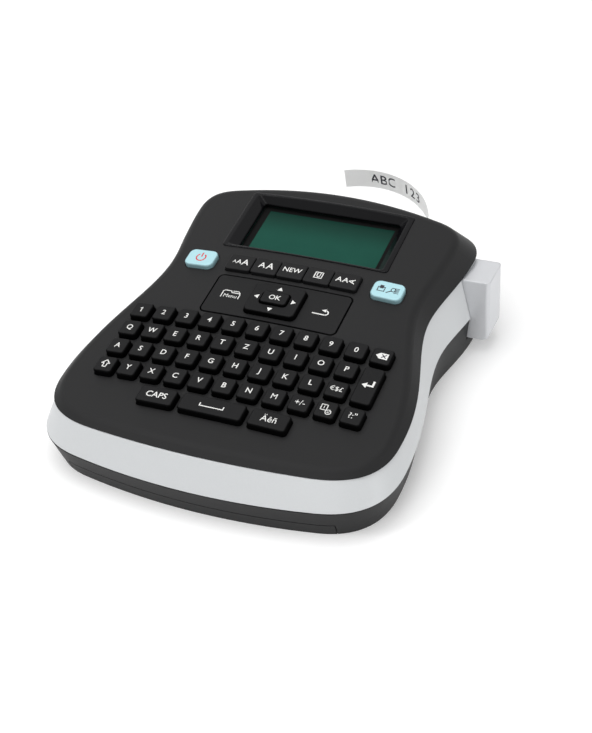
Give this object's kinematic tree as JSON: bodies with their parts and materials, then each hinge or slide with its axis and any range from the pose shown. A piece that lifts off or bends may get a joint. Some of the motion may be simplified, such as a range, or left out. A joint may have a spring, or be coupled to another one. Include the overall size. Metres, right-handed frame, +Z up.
{
  "type": "desktop label maker",
  "caption": "Desktop label maker: wedge body with waisted sides, sloped display frame, rubber key field, arrow pad, cutter push block and printed tape curling from the back.",
  "frame": {"origin": "on the flat underside, on the centre line, between the battery door and the cassette hatch", "axes": "+X to the user's right, +Y to the back, +Z up"},
  "size_m": [0.1374, 0.1835, 0.0484],
  "materials": {
    "cover_plastic": "matte fine texture",
    "band_plastic": "satin silver white",
    "base_plastic": "matte",
    "gloss_frame": "gloss",
    "clear_window": "clear",
    "display_glass": "satin",
    "key_rubber": "matte",
    "panel_plastic": "satin",
    "cyan_plastic": "satin",
    "circuit_board": "satin",
    "cell_jacket": "satin",
    "spring_metal": "bright",
    "steel": "brushed",
    "cassette_plastic": "matte",
    "paper_white": "satin",
    "alu": "satin",
    "gear_plastic": "satin",
    "brass": "satin",
    "silver_plastic": "satin metallic"
  },
  "bodies": {
    "housing": {"base_shell": "base_plastic", "battery_cells": "cell_jacket", "battery_contacts": "spring_metal", "cutter_spring": "spring_metal", "display_frame": "gloss_frame", "display_module": "display_glass", "display_window": "clear_window", "drive_motor": "steel", "hatch_pin": "steel", "housing_screws": "steel", "idler_pin": "steel", "keypad_mat": "key_rubber", "label_tape": "paper_white", "main_board": "circuit_board", "mechanism_plate": "steel", "middle_band": "band_plastic", "panel_board": "circuit_board", "power_inlet": "cover_plastic", "print_head": "alu", "rubber_feet": "key_rubber", "tape_cassette": "cassette_plastic", "tape_spool": "paper_white", "top_cover": "cover_plastic"},
    "number_keys": {"number_keys": "key_rubber"},
    "upper_letter_keys": {"upper_letter_keys": "key_rubber"},
    "home_letter_keys": {"home_letter_keys": "key_rubber"},
    "lower_letter_keys": {"lower_letter_keys": "key_rubber"},
    "backspace_key": {"backspace_key": "key_rubber"},
    "currency_key": {"currency_key": "key_rubber"},
    "shift_key": {"shift_key": "key_rubber"},
    "sign_key": {"sign_key": "key_rubber"},
    "symbol_key": {"symbol_key": "key_rubber"},
    "punctuation_key": {"punctuation_key": "key_rubber"},
    "enter_key": {"enter_key": "key_rubber"},
    "caps_key": {"caps_key": "key_rubber"},
    "space_key": {"space_key": "key_rubber"},
    "accent_key": {"accent_key": "key_rubber"},
    "size_key": {"size_key": "panel_plastic"},
    "style_key": {"style_key": "panel_plastic"},
    "new_key": {"new_key": "panel_plastic"},
    "save_key": {"save_key": "panel_plastic"},
    "turn_key": {"turn_key": "panel_plastic"},
    "power_button": {"power_button": "cyan_plastic"},
    "print_button": {"print_button": "cyan_plastic"},
    "ok_key": {"ok_key": "key_rubber"},
    "menu_panel": {"menu_panel": "panel_plastic"},
    "pad_cradle": {"pad_cradle": "gear_plastic"},
    "arrow_pad": {"arrow_pad": "key_rubber"},
    "cutter": {"cutter_block": "silver_plastic", "cutter_carriage": "gear_plastic", "cutter_blade": "steel"},
    "battery_door": {"battery_door": "base_plastic"},
    "cassette_hatch": {"cassette_hatch": "base_plastic"},
    "idler": {"idler_gear": "gear_plastic"},
    "platen": {"platen_gear": "gear_plastic", "platen_shaft": "steel", "platen_roller": "key_rubber"},
    "pinion": {"motor_pinion": "brass"},
    "ribbon_drive": {"ribbon_gear": "gear_plastic", "ribbon_spindle": "gear_plastic"}
  },
  "joints": [
    {"name": "number_keys_press", "type": "slide", "parent": "housing", "child": "number_keys", "axis": [0, 0.1736, -0.9848], "range_m": [0, 0.001], "stiffness_N_per_m": 2500},
    {"name": "upper_letter_keys_press", "type": "slide", "parent": "housing", "child": "upper_letter_keys", "axis": [0, 0.1736, -0.9848], "range_m": [0, 0.001], "stiffness_N_per_m": 2500},
    {"name": "home_letter_keys_press", "type": "slide", "parent": "housing", "child": "home_letter_keys", "axis": [0, 0.1736, -0.9848], "range_m": [0, 0.001], "stiffness_N_per_m": 2500},
    {"name": "lower_letter_keys_press", "type": "slide", "parent": "housing", "child": "lower_letter_keys", "axis": [0, 0.1736, -0.9848], "range_m": [0, 0.001], "stiffness_N_per_m": 2500},
    {"name": "backspace_key_press", "type": "slide", "parent": "housing", "child": "backspace_key", "axis": [0, 0.1736, -0.9848], "range_m": [0, 0.001], "stiffness_N_per_m": 400},
    {"name": "currency_key_press", "type": "slide", "parent": "housing", "child": "currency_key", "axis": [0, 0.1736, -0.9848], "range_m": [0, 0.001], "stiffness_N_per_m": 400},
    {"name": "shift_key_press", "type": "slide", "parent": "housing", "child": "shift_key", "axis": [0, 0.1736, -0.9848], "range_m": [0, 0.001], "stiffness_N_per_m": 400},
    {"name": "sign_key_press", "type": "slide", "parent": "housing", "child": "sign_key", "axis": [0, 0.1736, -0.9848], "range_m": [0, 0.001], "stiffness_N_per_m": 400},
    {"name": "symbol_key_press", "type": "slide", "parent": "housing", "child": "symbol_key", "axis": [0, 0.1736, -0.9848], "range_m": [0, 0.001], "stiffness_N_per_m": 400},
    {"name": "punctuation_key_press", "type": "slide", "parent": "housing", "child": "punctuation_key", "axis": [0, 0.1736, -0.9848], "range_m": [0, 0.001], "stiffness_N_per_m": 400},
    {"name": "enter_key_press", "type": "slide", "parent": "housing", "child": "enter_key", "axis": [0, 0.1736, -0.9848], "range_m": [0, 0.001], "stiffness_N_per_m": 400},
    {"name": "caps_key_press", "type": "slide", "parent": "housing", "child": "caps_key", "axis": [0, 0.1736, -0.9848], "range_m": [0, 0.001], "stiffness_N_per_m": 400},
    {"name": "space_key_press", "type": "slide", "parent": "housing", "child": "space_key", "axis": [0, 0.1736, -0.9848], "range_m": [0, 0.001], "stiffness_N_per_m": 400},
    {"name": "accent_key_press", "type": "slide", "parent": "housing", "child": "accent_key", "axis": [0, 0.1736, -0.9848], "range_m": [0, 0.001], "stiffness_N_per_m": 400},
    {"name": "size_key_press", "type": "slide", "parent": "housing", "child": "size_key", "axis": [0, 0.1736, -0.9848], "range_m": [0, 0.001], "stiffness_N_per_m": 400},
    {"name": "style_key_press", "type": "slide", "parent": "housing", "child": "style_key", "axis": [0, 0.1736, -0.9848], "range_m": [0, 0.001], "stiffness_N_per_m": 400},
    {"name": "new_key_press", "type": "slide", "parent": "housing", "child": "new_key", "axis": [0, 0.1736, -0.9848], "range_m": [0, 0.001], "stiffness_N_per_m": 400},
    {"name": "save_key_press", "type": "slide", "parent": "housing", "child": "save_key", "axis": [0, 0.1736, -0.9848], "range_m": [0, 0.001], "stiffness_N_per_m": 400},
    {"name": "turn_key_press", "type": "slide", "parent": "housing", "child": "turn_key", "axis": [0, 0.1736, -0.9848], "range_m": [0, 0.001], "stiffness_N_per_m": 400},
    {"name": "power_button_press", "type": "slide", "parent": "housing", "child": "power_button", "axis": [0, 0.1736, -0.9848], "range_m": [0, 0.001], "stiffness_N_per_m": 400},
    {"name": "print_button_press", "type": "slide", "parent": "housing", "child": "print_button", "axis": [0, 0.1736, -0.9848], "range_m": [0, 0.001], "stiffness_N_per_m": 400},
    {"name": "ok_key_press", "type": "slide", "parent": "housing", "child": "ok_key", "axis": [0, 0.1736, -0.9848], "range_m": [0, 0.001], "stiffness_N_per_m": 400},
    {"name": "menu_panel_rock", "type": "hinge", "parent": "housing", "child": "menu_panel", "pos_m": [0, 0.01236, 0.03472], "axis": [0, 0.9848, 0.1736], "range_deg": [-2, 2], "stiffness_Nm_per_rad": 0.5},
    {"name": "pad_up_down", "type": "hinge", "parent": "housing", "child": "pad_cradle", "pos_m": [0, 0.01257, 0.03353], "axis": [1, 0, 0], "range_deg": [-3, 3], "stiffness_Nm_per_rad": 0.3},
    {"name": "pad_left_right", "type": "hinge", "parent": "pad_cradle", "child": "arrow_pad", "pos_m": [0, 0.01247, 0.03413], "axis": [0, 0.9848, 0.1736], "range_deg": [-3, 3], "stiffness_Nm_per_rad": 0.3},
    {"name": "cutter_push", "type": "slide", "parent": "housing", "child": "cutter", "axis": [-1, 0, 0], "range_m": [0, 0.005], "stiffness_N_per_m": 600, "deforming": ["cutter_spring"]},
    {"name": "battery_door_slide", "type": "slide", "parent": "housing", "child": "battery_door", "axis": [0, -1, 0], "range_m": [0, 0.066]},
    {"name": "hatch_hinge", "type": "hinge", "parent": "housing", "child": "cassette_hatch", "pos_m": [0, 0.0598, 0.0034], "axis": [1, 0, 0], "range_deg": [0, 100]},
    {"name": "idler_spin", "type": "hinge", "parent": "housing", "child": "idler", "pos_m": [0.03314, 0.0381, 0.03062], "axis": [0, -0.1736, 0.9848], "continuous": true},
    {"name": "platen_spin", "type": "hinge", "parent": "housing", "child": "platen", "pos_m": [0.0305, 0.05284, 0.03322], "axis": [0, -0.1736, 0.9848], "continuous": true},
    {"name": "pinion_spin", "type": "hinge", "parent": "housing", "child": "pinion", "pos_m": [0.03202, 0.02554, 0.02841], "axis": [0, -0.1736, 0.9848], "continuous": true},
    {"name": "ribbon_drive_spin", "type": "hinge", "parent": "housing", "child": "ribbon_drive", "pos_m": [0.01691, 0.04238, 0.03138], "axis": [0, -0.1736, 0.9848], "continuous": true}
  ],
  "couplings": [
    {"joint": "idler_spin", "follows": "platen_spin", "ratio": -0.72727},
    {"joint": "pinion_spin", "follows": "platen_spin", "ratio": 1.6},
    {"joint": "ribbon_drive_spin", "follows": "platen_spin", "ratio": 0.8}
  ]
}
